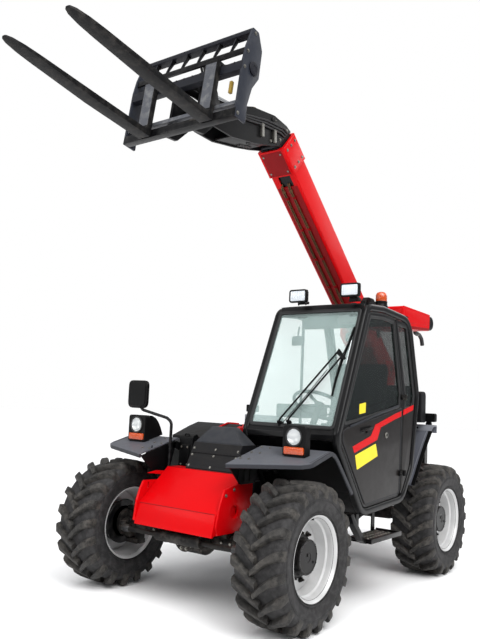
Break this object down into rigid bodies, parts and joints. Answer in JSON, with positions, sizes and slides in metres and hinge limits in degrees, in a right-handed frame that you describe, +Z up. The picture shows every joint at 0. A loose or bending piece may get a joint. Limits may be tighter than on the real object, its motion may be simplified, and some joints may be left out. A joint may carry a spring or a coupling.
{
  "type": "telehandler",
  "caption": "Compact telescopic handler with enclosed cab beside a raised two-stage boom, pallet forks on a tilting carriage, steered axles and block-lug tyres.",
  "frame": {"origin": "on the ground under the middle of the machine's box as it stands", "axes": "-Y is the front (forks), +X the machine's left (cab side), +Z up"},
  "size_m": [1.87, 4.5971, 3.7559],
  "materials": {
    "red_paint": "gloss red",
    "black_paint": "satin black",
    "dark_panel": "satin dark grey",
    "dark_plastic": "grained",
    "amber_lens": "clear amber",
    "red_lens": "clear red",
    "seat_cover": "black woven and vinyl",
    "glass": "clear, lightly green",
    "chrome_rod": "hard chrome",
    "rim_paint": "silver grey",
    "tyre": "dusty black rubber"
  },
  "bodies": {
    "chassis": {"chassis_frame": "red_paint", "front_nose": "red_paint", "boom_tower": "red_paint", "front_axle": "black_paint", "rear_axle": "black_paint", "engine_bay": "black_paint", "engine_block": "black_paint", "centre_cover": "dark_plastic", "front_fenders": "dark_plastic", "rear_fenders": "dark_plastic", "headlamps": "dark_plastic", "mirror": "black_paint", "cab_frame": "black_paint", "cab_right_panel": "dark_panel", "cab_roof": "dark_plastic", "cab_glass": "glass", "cab_quarter_panel": "dark_panel", "cab_quarter_glass": "glass", "seat": "seat_cover", "seat_base": "black_paint", "dashboard": "dark_plastic", "steering_wheel": "dark_plastic", "cab_step": "black_paint", "work_lamps": "dark_plastic", "beacon": "amber_lens", "wipers": "black_paint", "roof_cowl": "red_paint", "counterweight": "black_paint", "rear_boxes": "dark_plastic", "tail_lamps": "red_lens", "tow_hitch": "black_paint"},
    "boom": {"boom_outer": "red_paint"},
    "telescope": {"boom_inner": "black_paint", "boom_head": "black_paint"},
    "carriage": {"carriage_frame": "black_paint"},
    "left_fork": {"fork_left": "black_paint"},
    "right_fork": {"fork_right": "black_paint"},
    "lift_barrel": {"lift_cylinder_barrel": "black_paint"},
    "lift_rod": {"lift_cylinder_rod": "chrome_rod"},
    "tilt_barrel": {"tilt_cylinder_barrel": "black_paint"},
    "tilt_rod": {"tilt_cylinder_rod": "chrome_rod"},
    "door": {"door_panel": "dark_panel", "door_glass": "glass"},
    "bonnet_lid": {"bonnet": "red_paint"},
    "front_track_rod": {"front_steering_rod": "chrome_rod"},
    "rear_track_rod": {"rear_steering_rod": "chrome_rod"},
    "front_left_hub_carrier": {"front_left_knuckle": "black_paint"},
    "front_left_wheel": {"front_left_rim": "rim_paint", "front_left_tyre": "tyre"},
    "front_right_hub_carrier": {"front_right_knuckle": "black_paint"},
    "front_right_wheel": {"front_right_rim": "rim_paint", "front_right_tyre": "tyre"},
    "rear_left_hub_carrier": {"rear_left_knuckle": "black_paint"},
    "rear_left_wheel": {"rear_left_rim": "rim_paint", "rear_left_tyre": "tyre"},
    "rear_right_hub_carrier": {"rear_right_knuckle": "black_paint"},
    "rear_right_wheel": {"rear_right_rim": "rim_paint", "rear_right_tyre": "tyre"}
  },
  "joints": [
    {"name": "boom_lift", "type": "hinge", "parent": "chassis", "child": "boom", "pos_m": [-0.05, 1.9235, 1.71], "axis": [-1, 0, 0], "range_deg": [-46, 24]},
    {"name": "boom_extend", "type": "slide", "parent": "boom", "child": "telescope", "axis": [0, -0.757, 0.6534], "range_m": [0, 1.9]},
    {"name": "carriage_tilt", "type": "hinge", "parent": "telescope", "child": "carriage", "pos_m": [-0.05, -0.87372, 3.30547], "axis": [1, 0, 0], "range_deg": [-45, 75]},
    {"name": "lift_barrel_swing", "type": "hinge", "parent": "chassis", "child": "lift_barrel", "pos_m": [-0.05, 0.9235, 0.735], "axis": [-1, 0, 0], "range_deg": [-1.94, 3.26]},
    {"name": "lift_rod_stroke", "type": "slide", "parent": "lift_barrel", "child": "lift_rod", "axis": [0, 0.3676, 0.93], "range_m": [-0.4636, 0.2429]},
    {"name": "tilt_barrel_swing", "type": "hinge", "parent": "telescope", "child": "tilt_barrel", "pos_m": [-0.05, -0.15118, 3.50743], "axis": [-1, 0, 0], "range_deg": [-0.5, 0.5]},
    {"name": "tilt_rod_stroke", "type": "slide", "parent": "tilt_barrel", "child": "tilt_rod", "axis": [0, -0.9992, -0.0399], "range_m": [-0.1092, 0.1806]},
    {"name": "front_left_steer", "type": "hinge", "parent": "chassis", "child": "front_left_hub_carrier", "pos_m": [0.6, -0.7765, 0.44], "axis": [0, 0, 1], "range_deg": [-35, 35]},
    {"name": "front_left_wheel_spin", "type": "hinge", "parent": "front_left_hub_carrier", "child": "front_left_wheel", "pos_m": [0.765, -0.7765, 0.44], "axis": [1, 0, 0], "continuous": true},
    {"name": "front_right_steer", "type": "hinge", "parent": "chassis", "child": "front_right_hub_carrier", "pos_m": [-0.6, -0.7765, 0.44], "axis": [0, 0, 1], "range_deg": [-35.5, 35.5]},
    {"name": "front_right_wheel_spin", "type": "hinge", "parent": "front_right_hub_carrier", "child": "front_right_wheel", "pos_m": [-0.765, -0.7765, 0.44], "axis": [1, 0, 0], "continuous": true},
    {"name": "front_rod_slide", "type": "slide", "parent": "chassis", "child": "front_track_rod", "axis": [1, 0, 0], "range_m": [-0.109, 0.109]},
    {"name": "rear_left_steer", "type": "hinge", "parent": "chassis", "child": "rear_left_hub_carrier", "pos_m": [0.6, 1.3235, 0.44], "axis": [0, 0, 1], "range_deg": [-35, 35]},
    {"name": "rear_left_wheel_spin", "type": "hinge", "parent": "rear_left_hub_carrier", "child": "rear_left_wheel", "pos_m": [0.765, 1.3235, 0.44], "axis": [1, 0, 0], "continuous": true},
    {"name": "rear_right_steer", "type": "hinge", "parent": "chassis", "child": "rear_right_hub_carrier", "pos_m": [-0.6, 1.3235, 0.44], "axis": [0, 0, 1], "range_deg": [-35.5, 35.5]},
    {"name": "rear_right_wheel_spin", "type": "hinge", "parent": "rear_right_hub_carrier", "child": "rear_right_wheel", "pos_m": [-0.765, 1.3235, 0.44], "axis": [1, 0, 0], "continuous": true},
    {"name": "rear_rod_slide", "type": "slide", "parent": "chassis", "child": "rear_track_rod", "axis": [1, 0, 0], "range_m": [-0.109, 0.109]},
    {"name": "cab_door", "type": "hinge", "parent": "chassis", "child": "door", "pos_m": [0.884, 0.5235, 1.3], "axis": [0, 0, 1], "range_deg": [0, 100]},
    {"name": "bonnet_lift", "type": "hinge", "parent": "chassis", "child": "bonnet_lid", "pos_m": [-0.262, 0.2835, 1.01], "axis": [0, 1, 0], "range_deg": [0, 60]},
    {"name": "left_fork_slide", "type": "slide", "parent": "carriage", "child": "left_fork", "axis": [-1, 0, 0], "range_m": [-0.15, 0.17]},
    {"name": "right_fork_slide", "type": "slide", "parent": "carriage", "child": "right_fork", "axis": [1, 0, 0], "range_m": [-0.15, 0.17]}
  ],
  "couplings": [
    {"joint": "lift_barrel_swing", "follows": "boom_lift", "ratio": -0.06},
    {"joint": "lift_rod_stroke", "follows": "boom_lift", "m_per_rad": 0.575},
    {"joint": "tilt_barrel_swing", "follows": "carriage_tilt", "ratio": 0.001},
    {"joint": "tilt_rod_stroke", "follows": "carriage_tilt", "m_per_rad": 0.13643},
    {"joint": "front_right_steer", "follows": "front_left_steer", "ratio": 1},
    {"joint": "front_rod_slide", "follows": "front_left_steer", "m_per_rad": 0.175},
    {"joint": "rear_right_steer", "follows": "rear_left_steer", "ratio": 1},
    {"joint": "rear_rod_slide", "follows": "rear_left_steer", "m_per_rad": -0.175}
  ]
}
